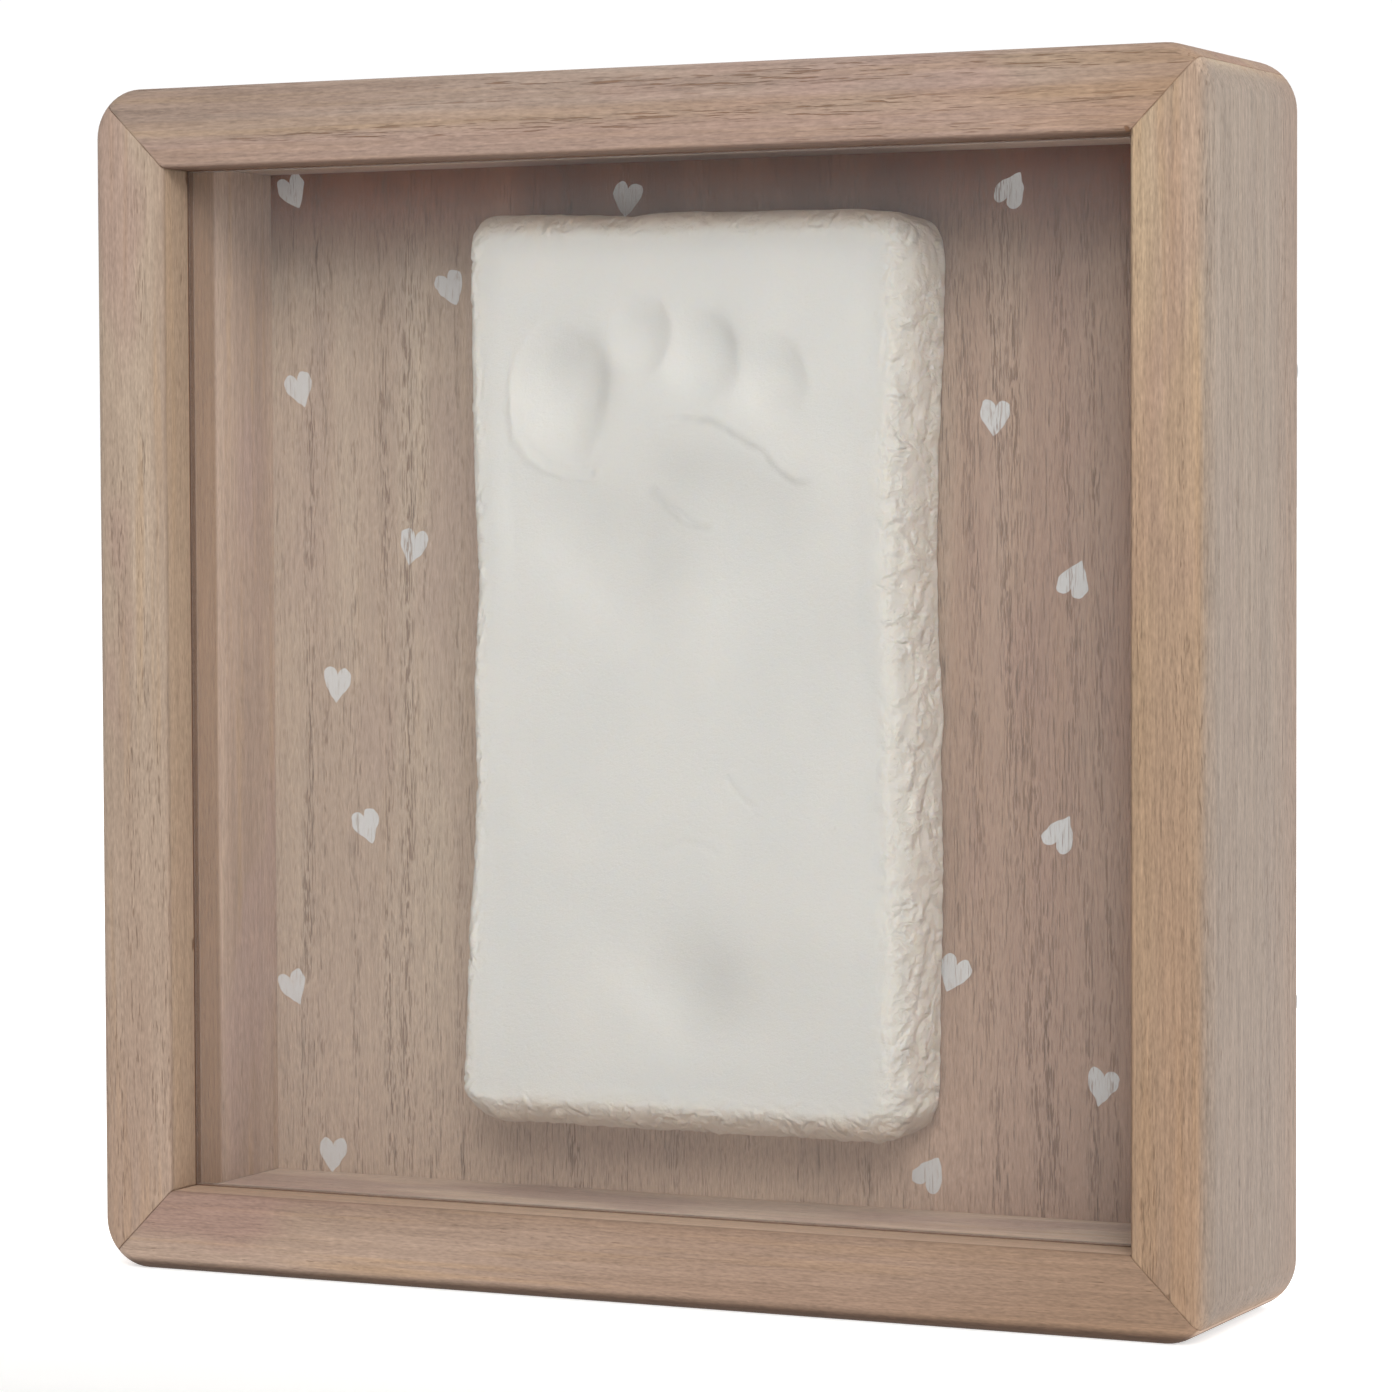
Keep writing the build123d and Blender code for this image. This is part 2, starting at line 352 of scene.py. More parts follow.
def addSoftBox(name, where, size, power, colour):
    data = bpy.data.lights.new(name, "AREA")
    data.shape = "SQUARE"
    data.size = size
    data.energy = power
    data.color = colour
    lamp = bpy.data.objects.new(name, data)
    bpy.context.scene.collection.objects.link(lamp)
    middle = (cadLow + cadHigh) / 2
    lamp.location = where
    lamp.rotation_euler = (middle - Vector(where)).to_track_quat("-Z", "Y").to_euler()


def addStage(s):
    addFloor(s)
    addSky(s)
    for name, (where, size, power) in s["boxes"].items():
        addSoftBox(name, where, size, power, s["boxColour"])
    bpy.context.scene.view_settings.view_transform = "Standard"


addCamera(cameraSettings)
addStage(stageSettings)
print("camera, floor and light are in place")


# wood
def grain(where, along, across, length, seed, detail=2.0, roughness=0.5):
    # noise with features this many mm across and long, along X or Z
    wide, far = 1 / across, 1 / length
    scales = (far, wide, wide) if along == "X" else (wide, wide, far)
    shifted = where.stretched(*scales).moved(seed, seed * 0.7, seed * 1.3)
    return shifted.noise(detail=detail, roughness=roughness)


def woodSurface(where, s):
    along, seed = s["along"], s["seed"]
    tone = grain(where, along, 9, 160, seed, 3.0)
    streak = grain(where, along, 2.4, 70, seed + 3, 2.0)
    line = grain(where, along, 0.7, 34, seed + 5, 2.0)
    fibre = grain(where, along, 0.3, 5.0, seed + 7, 3.0, 0.7)
    fleck = grain(where, along, 0.24, 1.1, seed + 11, 1.0)
    poreBand = grain(where, along, 2.2, 70, seed + 17, 1.0)
    pore = grain(where, along, *s["poreSize"], seed + 23, 1.5)
    colour = tone.rise(0.36, 0.66).mixed(s["dark"], s["light"])
    colour = (streak.rise(0.52, 0.68) * s["warmth"]).mixed(colour, s["warm"])
    blush = grain(where, along, 14, 45, seed + 31, 2.0).rise(0.5, 0.66) * s["blush"]
    colour = blush.mixed(colour, s["pink"])
    for axis, (start, end), share, tint in s["drifts"]:      # slow changes across a board: tints, and in some looks painted light and shade
        colour = (where.part(axis).rise(start, end) * share).mixed(colour, tint)
    shading = (fibre - 0.5) * s["fibre"] + (fleck - 0.5) * s["fleck"] + (line - 0.5) * s["line"] + 1.0
    colour = colour.times(shading * s["stain"])
    pores = pore.rise(*s["poreEdge"]) * (poreBand.rise(0.42, 0.62) * 0.85 + 0.15)
    for place, radius in s["nicks"]:        # small splinters out of the edges
        gap = where.moved(*(-value for value in place)).stretched(1, 1, 0.5).length()
        pores = pores.maths("MAXIMUM", (gap + fleck * 0.6).rise(radius + 0.35, radius * 0.5 + 0.3) * 1.4)
    if s["mitre"]:                          # ragged hairline where two rails meet
        gap = abs(abs(where.part("X")) - abs(where.part("Z") - middleHeight)) - fleck * 0.5
        worn = where.noise(scale=0.35, detail=2.0).rise(0.35, 0.6) * 0.7 + 0.3
        pores = pores.maths("MAXIMUM", gap.rise(-0.02, -0.22) * worn * s["mitre"])
    colour = (pores * s["poreDepth"]).mixed(colour, s["pore"])
    height = fibre * 0.5 + fleck * 0.35 - pores * 0.9
    return colour, pores, height


def woodMaterial(name, s):
    material, principled, where = newMaterial(name)
    colour, pores, height = woodSurface(where, s)
    rough = s["rough"] + pores * 0.2 + height * 0.12
    plug(principled, Base_Color=colour, Roughness=rough, Normal=bumped(height, s["relief"]),
         Specular_IOR_Level=s["gloss"])
    return material


railWood = {
    "along": "Z", "seed": 2.0,
    "light": shade(198, 177, 157), "dark": shade(178, 155, 136),
    "warm": shade(198, 163, 124), "warmth": 0.42,
    "pink": shade(180, 148, 137), "blush": 0.5,
    "pore": shade(108, 80, 60), "poreDepth": 0.5, "poreEdge": (0.6, 0.72), "poreSize": (0.19, 2.6),
    "fibre": 0.66, "fleck": 0.55, "line": 0.3, "relief": 0.08, "rough": 0.62, "gloss": 0.3,
    "mitre": 1.0,                   # strength of the hairline where two rails meet
    "stain": 0.74,                  # share of the colour's light that the finish leaves
    "drifts": [],                   # axis, where the tint starts and is full, its share, the tint; some tints are painted light and shade
    "nicks": [],                    # place, radius
}
railLooks = {
    "rail_left": {
        # painted shade: darker towards the bottom, where less light falls; painted light: lighter behind the
        # front face, for the inner face of the lip
        "drifts": [("Z", (90, 5), 0.45, shade(174, 144, 128)),
                   ("Y", (-16.9, -16.3), 0.6, shade(218, 190, 163))],
        "nicks": [((-73.5, -10.7, 46.6), 0.5), ((-73.6, -10.6, 157.8), 0.7)],
    },
    "rail_right": {
        "seed": 12.0, "light": shade(208, 185, 158), "dark": shade(190, 162, 136),
        "warm": shade(204, 166, 124), "warmth": 0.36, "blush": 0.35, "fibre": 0.95, "line": 0.5,
        "poreDepth": 0.4,
        # painted shade: darker towards the bottom and on the right face, where less light falls, a thin dark
        # line along the inner arris of the lip and a dark line round the bottom edge
        "drifts": [("X", (77.8, 74.5), 0.2, shade(206, 164, 116)),
                   ("Z", (145, 8), 0.65, shade(166, 133, 108)),
                   ("X", (82.4, 84.6), 0.84, shade(157, 143, 132)), ("Y", (4, 20), 0.3, shade(172, 136, 114)),
                   ("X", (74.0, 73.5), 0.6, shade(96, 68, 52)), ("Z", (2.0, 0.7), 0.92, shade(84, 62, 48))],
        "nicks": [((73.5, -17.3, 76.5), 0.3), ((73.4, -17.3, 158.4), 0.6), ((78.9, -17.4, 6.4), 0.3)],
    },
    "rail_top": {
        "along": "X", "seed": 21.0, "light": shade(192, 172, 158), "dark": shade(170, 147, 132),
        "warm": shade(190, 162, 128), "warmth": 0.35, "pink": shade(182, 148, 139), "blush": 0.6,
        "pore": shade(122, 90, 68), "poreDepth": 0.7, "poreEdge": (0.57, 0.68), "poreSize": (0.18, 4.6),
        "line": 0.5,
        # the last tint is painted shade: a thin dark line along the lower arris of the lip
        "drifts": [("Z", (165.6, 164.4), 0.25, shade(190, 152, 116)),
                   ("Z", (163.6, 161.5), 0.45, shade(184, 154, 144)),
                   ("X", (45, 85), 0.5, shade(172, 136, 106)),
                   ("Z", (158.95, 158.5), 0.55, shade(96, 68, 52))],
        "nicks": [((73.2, -17.3, 158.7), 0.45)],
    },
    "rail_bottom": {
        "along": "X", "seed": 33.0, "light": shade(190, 165, 147), "dark": shade(172, 146, 127),
        "pink": shade(178, 144, 133), "blush": 0.6, "poreEdge": (0.66, 0.76), "line": 0.4,
        # painted light: lighter behind the front face, for the top face of the lip; painted shade: a dark
        # line round the bottom edge
        "drifts": [("X", (-50, 20), 0.6, shade(168, 138, 117)), ("X", (30, 80), 0.75, shade(158, 128, 104)),
                   ("Y", (-16.95, -16.4), 0.8, shade(232, 202, 178)),
                   ("Z", (2.0, 0.7), 0.92, shade(84, 62, 48))],
    },
}
railBevel = (0.14, 2)               # mm, broken arrises


def addRails():
    for nodeName, changes in railLooks.items():
        wood = woodMaterial("wood_" + nodeName, {**railWood, **changes})
        dress(nodeName, nodeName.replace("rail_", "frame_rail_"), railBevel, wood, "rail_wood")


addRails()
print("rails are cut and stained")


# liner strips
linerWood = {**railWood, "seed": 41.0, "light": shade(220, 192, 171), "dark": shade(198, 169, 149),
             "warm": shade(214, 178, 140), "pink": shade(206, 176, 164), "blush": 0.7,
             # the front part of each strip is browner; painted shadow: a dark band at the very front, where
             # the shade behind the lip falls
             "drifts": [("Y", (-1.5, -2.5), 0.8, shade(167, 131, 101)),
                        ("Y", (-8.5, -8.9), 0.5, shade(74, 54, 42))],
             "pore": shade(100, 74, 60), "poreDepth": 0.5, "mitre": 0}
linerLooks = {
    "liner_left": {},
    "liner_right": {"seed": 47.0},
    "liner_top": {"along": "X", "seed": 53.0},
    # painted light: the bottom strip is lighter than the others, for the light from above on its upward face
    "liner_bottom": {"along": "X", "seed": 59.0, "light": shade(238, 215, 196), "dark": shade(229, 205, 186),
                     "drifts": []},
}
linerFit = {"squeeze": 0.28, "bevel": 0.08}     # mm


def addLiner():
    for nodeName, changes in linerLooks.items():
        piece = mergedCopy(nodeName, nodeName.replace("liner_", "liner_strip_"))
        if changes.get("along") != "X":     # the upright strips are pushed tight against the level ones
            for up in (-1, 1):
                selectFaces(piece, lambda middle, normal: normal.z * up > 0.9)
                bpy.ops.transform.translate(value=(0, 0, up * linerFit["squeeze"] * mm))
                endEdit()
        eased(piece, linerFit["bevel"])
        giveMaterial(piece, woodMaterial("wood_" + nodeName, {**linerWood, **changes}))
        place(piece, "root", "liner_wood", nodeName)


addLiner()
print("liner strips are in")


# back panel with its dark growth lines and printed hearts
panelWood = {
    **railWood, "seed": 71.0, "light": shade(209, 187, 164), "dark": shade(189, 163, 142),
    "warm": shade(198, 168, 136), "warmth": 0.3, "pink": shade(182, 152, 140), "blush": 0.45,
    "pore": shade(96, 74, 60), "poreDepth": 0.5, "poreEdge": (0.6, 0.7), "poreSize": (0.18, 4.0),
    "line": 0.22, "fibre": 0.5, "fleck": 0.45, "mitre": 0, "rough": 0.68, "gloss": 0.25,
    # painted light: lighter towards the bottom, where light from above reaches; the board is also darker
    # towards the right and lighter towards the left
    "drifts": [("Z", (60, 12), 0.8, shade(230, 202, 180)), ("X", (10, 55), 0.6, shade(176, 136, 116)),
               ("X", (-25, -45), 0.2, shade(216, 198, 180)),
               ("X", (-30, -70), 0.35, shade(214, 192, 172))],
}
# bands of short dark dashes: x at the middle of the height, lean per mm of height, half width, strength
growthBands = [
    (-68.2, 0.022, 1.1, 1.0), (-65.6, 0.02, 0.7, 0.5), (-60.4, 0.01, 0.8, 0.45), (-55.2, 0.0, 1.0, 0.95),
    (-51.6, 0.009, 1.4, 1.0), (-48.6, 0.0, 0.7, 0.6), (-43.0, 0.0, 0.8, 0.5), (-36.5, 0.0, 0.6, 0.4),
    (-24.6, 0.0, 1.4, 0.85), (-8.0, 0.0, 0.9, 0.5), (21.0, -0.01, 1.1, 0.7), (38.8, -0.05, 1.1, 0.7),
    (44.0, -0.062, 1.0, 0.9), (46.6, -0.058, 1.3, 1.0), (53.6, -0.04, 1.0, 0.7), (57.4, -0.03, 0.8, 0.75),
    (62.8, -0.02, 1.1, 0.7), (69.0, -0.01, 0.9, 0.6),
]
growthColour = shade(104, 76, 59)
# painted shadow of the top rail on the top of the panel
topShadow = {"height": (142, 157), "share": (0.46, 0.2, 0.11, 1)}    # mm, and the light it leaves
panelBevel = (0.2, 2)               # mm


def growthMask(where):
    x = where.part("X")
    rise = where.part("Z") - middleHeight
    sway = (where.stretched(0.02, 0.0, 0.035).noise(detail=2.0) - 0.5) * 3.2
    total = None
    for bandX, lean, halfWidth, strength in growthBands:
        gap = abs(x - rise * lean + sway - bandX)
        band = gap.rise(halfWidth * 1.5, 0) * strength
        total = band if total is None else total.maths("MAXIMUM", band)
    total = total * (grain(where, "Z", 6, 30, 15.0, 1.0).rise(0.3, 0.55) * 0.5 + 0.5)
    dash = grain(where, "Z", 0.21, 2.4, 5.0, 1.5, 0.6)
    dense = x.rise(0, 45) * 0.02
    return (dash + total * 0.105 + dense).rise(0.61, 0.67) * (total * 0.6 + 0.4)


def panelSurface(where):
    colour, pores, height = woodSurface(where, panelWood)
    # painted shadow of the top rail: the board is darker and browner along the top of its front
    low, high = (corner.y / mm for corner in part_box("back_panel"))
    inFront = where.part("Y").rise(high - 0.5, low + 0.5)
    stain = (where.part("Z").rise(*topShadow["height"]) * inFront).mixed((1, 1, 1, 1), topShadow["share"])
    colour = colour.vector("MULTIPLY", {1: stain})
    lines = growthMask(where)
    colour = (lines * 0.64).mixed(colour, growthColour)
    dark = pores.maths("MAXIMUM", lines)
    return colour, dark, height - lines * 0.8


def panelMaterial(s):
    material, principled, where = newMaterial("wood_panel")
    colour, dark, height = panelSurface(where)
    plug(principled, Base_Color=colour, Roughness=s["rough"] + dark * 0.2,
         Normal=bumped(height, s["relief"]), Specular_IOR_Level=s["gloss"])
    return material


inkLooks = {"white": 0.58, "grainShows": 0.75, "thinShows": 0.35, "rough": 0.55, "relief": 0.04}


def inkMaterial(s):
    material, principled, where = newMaterial("white_ink")
    colour, dark, height = panelSurface(where)
    thin = where.stretched(0.9, 0.9, 0.35).noise(detail=3.0, roughness=0.6).rise(0.62, 0.74)
    bare = (dark * s["grainShows"] + thin * s["thinShows"]).maths("MINIMUM", 1.0)
    white = (where.noise(scale=1.4, detail=3.0) * 0.08 + 0.95) * s["white"]
    inked = white.node("ShaderNodeCombineColor", None, {0: white, 1: white, 2: white})
    plug(principled, Base_Color=bare.mixed(inked, colour), Roughness=s["rough"],
         Normal=bumped(height, s["relief"]))
    return material


# middle x and z in mm on the panel, and the turn of each heart's tip, 0 straight down, in degrees
heartPlaces = [
    (-70.5, 156.6, 24), (-15.2, 153.9, -8), (44.3, 153.7, 150), (-44.0, 141.8, 22), (-69.6, 127.3, 18),
    (41.7, 122.0, -6), (-50.6, 104.0, -14), (53.6, 99.7, 158), (-63.6, 83.5, -4), (-58.7, 62.6, 20),
    (51.5, 64.5, 152), (-71.4, 38.0, 24), (35.3, 44.2, -22), (57.5, 29.3, -12), (-64.9, 13.2, -2),
    (31.8, 16.0, 150), (68.2, 137.5, 14), (67.4, 84.0, -12), (70.2, 50.5, 20), (67.0, 12.8, -6),
]
heartSettings = {"width": 4.6, "height": 5.2, "points": 40, "proud": 0.03, "sunk": 0.06, "rough": 0.14}


def heartOutline(s):
    points = []
    for index in range(s["points"]):
        t = 2 * math.pi * index / s["points"]
        fullness = 2.4 + 0.6 * math.cos(t)      # round cheeks, short tip
        x = 16 * math.copysign(abs(math.sin(t)) ** fullness, math.sin(t))
        z = 13 * math.cos(t) - 5 * math.cos(2 * t) - 2 * math.cos(3 * t) - math.cos(4 * t)
        points.append((x / 32 * s["width"], (z + 2.5) / 29 * s["height"]))
    return points


def addHearts(s):
    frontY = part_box("back_panel")[0].y / mm
    outline = heartOutline(s)
    prints = []
    for number, (middleX, middleZ, turn) in enumerate(heartPlaces):
        deselectAll()
        bpy.ops.mesh.primitive_circle_add(vertices=s["points"], radius=mm, fill_type="NGON",
                                          rotation=(math.pi / 2, 0, 0))
        heart = bpy.context.object
        settle(heart)
        angle = math.radians(turn)
        order = sorted(range(s["points"]), key=lambda i: math.atan2(
            heart.data.vertices[i].co.x, heart.data.vertices[i].co.z) % (2 * math.pi))
        for step, index in enumerate(order):
            x, z = outline[step]
            uneven = 1 + s["rough"] * noise.noise(Vector((x * 0.9, number * 3.7, z * 0.9)))
            x, z = x * uneven, z * uneven
            heart.data.vertices[index].co = Vector((
                middleX + x * math.cos(angle) - z * math.sin(angle),
                frontY + s["sunk"],
                middleZ + x * math.sin(angle) + z * math.cos(angle))) * mm
        startEdit(heart, "FACE")
        bpy.ops.mesh.select_all(action="SELECT")
        bpy.ops.mesh.extrude_region_move(
            TRANSFORM_OT_translate={"value": (0, -(s["sunk"] + s["proud"]) * mm, 0)})
        bpy.ops.mesh.select_all(action="SELECT")
        bpy.ops.mesh.normals_make_consistent(inside=False)
        endEdit()
        prints.append(heart)
    hearts = joined(prints)
    hearts.name = "printed_hearts"
    giveMaterial(hearts, inkMaterial(inkLooks))
    place(hearts, "root", "panel_wood")


dress("back_panel", "panel_board", panelBevel, panelMaterial(panelWood), "panel_wood")
addHearts(heartSettings)
print("panel and its hearts are printed")


# clay slab, sculpted
clay = {
    # outline as pressed by hand, mm: sides as (z, x), ends as (x, z)
    "left": [(21, -35.2), (28, -35.0), (34, -34.6), (46, -34.0), (57, -33.2), (71, -32.6), (81, -32.8),
             (92, -32.4), (98, -32.1), (109, -32.4), (126, -32.8), (143, -33.0), (151, -32.9)],
    "right": [(21, 33.7), (31, 34.0), (47, 34.4), (64, 34.5), (75, 34.3), (81, 34.6), (92, 34.0), (103, 33.8),
              (120, 34.0), (131, 34.7), (142, 35.0), (151, 35.0)],
    "top": [(-33, 151.4), (-24, 151.3), (-10, 150.6), (-5, 151.1), (14, 151.0), (27, 150.6), (35, 149.9)],
    "bottom": [(-35, 21.2), (-24, 21.5), (-10, 21.4), (7, 21.4), (25, 21.4), (34, 21.6)],
    "cell": 0.45,                   # mm between sculpted points
    "edgeCell": 0.26,
    "edgeWidth": 7.5,
    "sideCell": 0.55,
    "corner": 5.8,                  # rounding of the outline's corners
    "cornerPush": {(-1, 1): 0.9, (1, 1): 0.5, (-1, -1): 0.1, (1, -1): 0.0},    # mm, fuller or flatter
    "roundLeft": (1.8, 2.2),        # rounding of the front edge, inwards and backwards
    "roundRight": (3.0, 4.6),
    "roundTop": (3.4, 3.6),
    "roundBottom": (4.2, 5.4),
    "backRound": 1.4,
    "backSteps": 5,
    "wave": 0.22,                   # mm, unevenness of the outline
    "crumple": 0.58,                # mm, bumps of the skin round the sides
    "fold": 0.28,                   # mm, folds over the front edge
    "swell": 0.3,                   # unevenness of the front
}
# toes: middle x and z, half width and height in mm, turn in degrees, depth, softness of the rim,
# where the rim is crisp (degrees from +X towards +Z), height of the lip there
toeDents = {
    "bigToe": (-17.9, 126.3, 7.5, 9.2, -4, 1.85, 0.5, -150, 0.22),
    "bigToeSide": (-16.5, 128.0, 6.1, 6.6, -10, 0.4, 0.3, 20, 0.0),
    "secondToe": (-5.4, 133.9, 4.4, 5.7, -6, 1.05, 0.5, 20, 0.05),
    "thirdToe": (4.3, 131.1, 5.6, 6.6, 8, 1.4, 0.5, 20, 0.05),
    "fourthToe": (15.0, 127.9, 5.3, 5.9, 12, 0.95, 0.6, 20, 0.03),
}
# the soft pads of the foot: middle x and z, half width and height, turn, depth
padDents = {
    "littleToe": (24.6, 121.0, 4.5, 4.5, 0, 0.3),
    "innerBall": (-15.0, 104.0, 14.0, 9.0, -50, 1.5),
    "outerArch": (9.0, 97.0, 17.0, 14.0, 0, 0.8),
    "heel": (-0.5, 40.5, 12.5, 11.5, 0, 1.2),
    "heelMiddle": (1.2, 42.0, 7.0, 6.5, 0, 0.65),
    "heelTop": (4.0, 53.0, 13.0, 8.0, 0, 0.3),
}
ballRidge = [
    (-8.0, 120.2), (-1.7, 121.8), (1.2, 122.3), (4.2, 121.6), (6.4, 121.5), (8.6, 120.0), (11.0, 118.4),
    (13.0, 117.4), (14.2, 115.7), (15.4, 114.2), (17.8, 113.1), (20.2, 111.9), (24.0, 109.0),
]
ballReach = [
    (24.0, 108.0), (19.0, 100.0), (8.0, 95.0), (-6.0, 96.0), (-13.0, 103.0), (-12.0, 114.0), (-8.0, 124.0),
    (6.0, 127.0), (24.0, 117.0),
]
ballDepth = 0.75
# points, half width, depth of the groove, height of the lip beside it
skinCreases = [
    ([(-1.7, 121.9), (1.2, 122.4), (4.2, 121.7), (6.4, 121.6), (8.6, 120.1), (11.0, 118.5), (13.0, 117.5),
      (14.2, 115.8), (15.4, 114.3), (17.8, 113.2)], 0.4, 0.14, 0.07),
    ([(4.6, 106.9), (1.9, 107.8), (-2.3, 110.6), (-4.0, 112.0)], 0.38, 0.2, 0.0),
    ([(-13.0, 115.3), (-17.8, 115.6), (-20.8, 116.5), (-23.3, 118.2), (-25.0, 120.6), (-25.5, 124.0)],
     0.5, 0.16, 0.25),
    ([(-2.2, 61.4), (1.0, 63.0), (4.0, 62.6), (6.2, 61.4)], 0.5, 0.08, 0.02),
    ([(7.9, 72.0), (9.4, 69.6), (12.0, 67.6)], 0.35, 0.12, 0.05),
]
# painted shade and light on the pressed clay: middle x and z, half sizes, turn, amount
paintedClayShades = [
    (-17.6, 131.6, 6.0, 4.4, -10, -0.1), (-11.6, 127.3, 1.6, 5.0, 8, -0.07),
    (-19.2, 121.8, 5.4, 4.6, 0, 0.08),
    (-5.3, 136.4, 3.6, 3.0, 0, -0.07), (-2.3, 134.0, 1.2, 3.0, 0, -0.04), (-6.2, 131.0, 3.0, 2.5, 0, 0.03),
    (5.6, 134.6, 4.4, 3.0, -20, -0.08), (9.2, 131.4, 1.4, 3.5, 0, -0.05), (1.0, 128.8, 3.4, 3.6, 30, 0.05),
    (16.0, 131.0, 4.2, 3.0, -20, -0.05), (11.6, 126.0, 3.2, 3.2, 30, 0.045),
    (12.5, 121.8, 10.0, 3.0, -32, 0.045), (3.0, 115.2, 12.0, 5.6, -14, -0.07),
    (1.6, 116.4, 5.0, 3.2, 0, -0.04), (16.0, 111.5, 5.0, 3.6, -25, -0.035),
    (-5.5, 108.6, 8.0, 6.0, -40, -0.065),
    (-1.0, 101.0, 6.0, 5.0, 0, -0.03), (-17.5, 101.0, 10.0, 3.2, -41, 0.05), (9.0, 97.0, 9.0, 9.0, 0, 0.03),
    (24.0, 92.0, 4.0, 7.0, 0, -0.03), (5.4, 44.0, 8.0, 5.4, -32, -0.065), (8.0, 46.0, 14.0, 9.0, 0, -0.03),
    (20.0, 45.0, 6.0, 8.0, 0, -0.03), (-5.2, 39.6, 9.0, 3.0, -52, 0.05), (7.5, 33.2, 8.0, 2.6, 0, 0.035),
    (1.0, 63.5, 7.0, 1.2, 0, -0.02),
]
# painted shade: thin dark lines in the creases: points, half width, amount
paintedCreaseShadows = [
    ([(1.2, 122.2), (5.1, 122.2), (8.6, 120.0), (11.0, 118.4), (13.0, 117.4), (14.2, 115.7), (17.8, 113.1),
      (20.4, 112.6)], 0.5, 0.15),
    ([(-4.0, 112.0), (-2.1, 110.4), (1.95, 107.6), (4.6, 106.9)], 0.5, 0.14),
]


# painted shade and light for the clay's front: a little lighter towards the top, darker and lighter spots
# over the print, and dark lines in the creases
def paintedClayShade(x, z):
    spots = np.stack((x, np.zeros(len(x)), z), 1)
    x = x + 0.9 * clayNoise(spots, 0.12, 111.0)
    z = z + 0.9 * clayNoise(spots, 0.12, 112.0)
    amount = 0.055 * smoothStep(100, 146, z)
    for *shape, strength in paintedClayShades:
        u, v = dentFrame(x, z, *shape)
        amount += strength * np.exp(-(u * u + v * v))
    for points, halfWidth, strength in paintedCreaseShadows:
        gap, _ = lineDistance(x, z, points)
        uneven = np.clip(0.8 + 0.9 * clayNoise(spots, 0.5, 113.0), 0.2, 1)
        amount -= strength * np.exp(-(gap / halfWidth) ** 2) * uneven
    return amount


def gridLines(half, s):
    near = np.concatenate(([0, 0.03, 0.11, 0.24, 0.42, 0.64], np.arange(0.9, s["edgeWidth"], s["edgeCell"])))
    flat = half - near[-1]
    count = round(2 * flat / s["cell"])
    return np.concatenate((near - half, np.linspace(-flat, flat, count + 1)[1:-1], (half - near)[::-1]))


def smoothStep(low, high, value):
    share = np.clip((value - low) / (high - low), 0, 1)
    return share * share * (3 - 2 * share)


def clayNoise(points, scale, seed=0.0):
    shift = Vector((seed, seed * 1.7, seed * 0.6))
    return np.array([noise.noise(Vector(p) * scale + shift) for p in points])


def lineDistance(x, z, points):     # distance to a bent line, and the side, + on the left when walked along
    best = np.full(len(x), 1e9)
    side = np.ones(len(x))
    for (ax, az), (bx, bz) in zip(points[:-1], points[1:]):
        dx, dz = bx - ax, bz - az
        share = np.clip(((x - ax) * dx + (z - az) * dz) / (dx * dx + dz * dz), 0, 1)
        gapX, gapZ = x - ax - share * dx, z - az - share * dz
        gap = np.hypot(gapX, gapZ)
        closer = gap < best
        best = np.where(closer, gap, best)
        side = np.where(closer, np.sign(dx * gapZ - dz * gapX), side)
    return best, side


def insideOutline(x, z, points):
    inside = np.zeros(len(x), bool)
    for (ax, az), (bx, bz) in zip(points, points[1:] + points[:1]):
        crosses = (az > z) != (bz > z)
        reach = (bx - ax) * (z - az) / ((bz - az) or 1e-9) + ax
        inside ^= crosses & (x < reach)
    return inside


def dentFrame(x, z, middleX, middleZ, halfX, halfZ, turn):      # place inside a dent, 1 at its rim
    cosine, sine = math.cos(math.radians(turn)), math.sin(math.radians(turn))
    dx, dz = x - middleX, z - middleZ
    return (dx * cosine + dz * sine) / halfX, (dz * cosine - dx * sine) / halfZ


def footDepth(x, z):                # how far the foot pressed the clay in, mm
    depth = np.zeros(len(x))
    spots = np.stack((x, np.zeros(len(x)), z), 1)
    x = x + 0.6 * clayNoise(spots, 0.1, 101.0) + 0.3 * clayNoise(spots, 0.42, 102.0)
    z = z + 0.6 * clayNoise(spots, 0.1, 103.0) + 0.3 * clayNoise(spots, 0.42, 104.0)
    for *shape, deep, soft, crispAt, lip in toeDents.values():
        u, v = dentFrame(x, z, *shape)
        reach = np.sqrt(np.abs(u) ** 2.5 + v * v)       # flat across, with steep side walls
        crisp = 0.5 + 0.5 * np.cos(np.arctan2(v, u) - math.radians(crispAt))
        blend = soft * (1 - 0.8 * crisp)
        bowl = 1 - reach ** 2
        bowl = 0.5 * (bowl + np.sqrt(bowl * bowl + blend * blend)) - 0.5 * blend * blend / (1 + reach ** 2)
        depth += deep * np.clip(bowl, 0, None) * smoothStep(2.2, 1.2, reach)
        depth -= lip * crisp ** 2 * np.exp(-((reach - 1.12) / 0.09) ** 2)
    for *shape, deep in padDents.values():
        u, v = dentFrame(x, z, *shape)
        depth += deep * np.exp(-(u * u + v * v))
    # the ball of the foot gets deeper away from the low ridge under the toes
    gap, side = lineDistance(x, z, ballRidge)
    gap = -gap * side
    edge, _ = lineDistance(x, z, ballReach + ballReach[:1])
    edge = np.where(insideOutline(x, z, ballReach), edge, 0)
    deeper = 0.12 + 0.88 * np.clip(gap / 15, 0, 1)
    depth += ballDepth * deeper * smoothStep(-0.6, 0.7, gap) * smoothStep(0, 9, edge)
    for points, halfWidth, groove, lip in skinCreases:
        gap, side = lineDistance(x, z, points)
        ends = smoothStep(6, 0.5, gap)
        depth += groove * np.exp(-(gap / halfWidth) ** 2) * ends
        depth -= lip * np.exp(-((gap * side - 2 * halfWidth) / (1.4 * halfWidth)) ** 2) * ends
    return depth


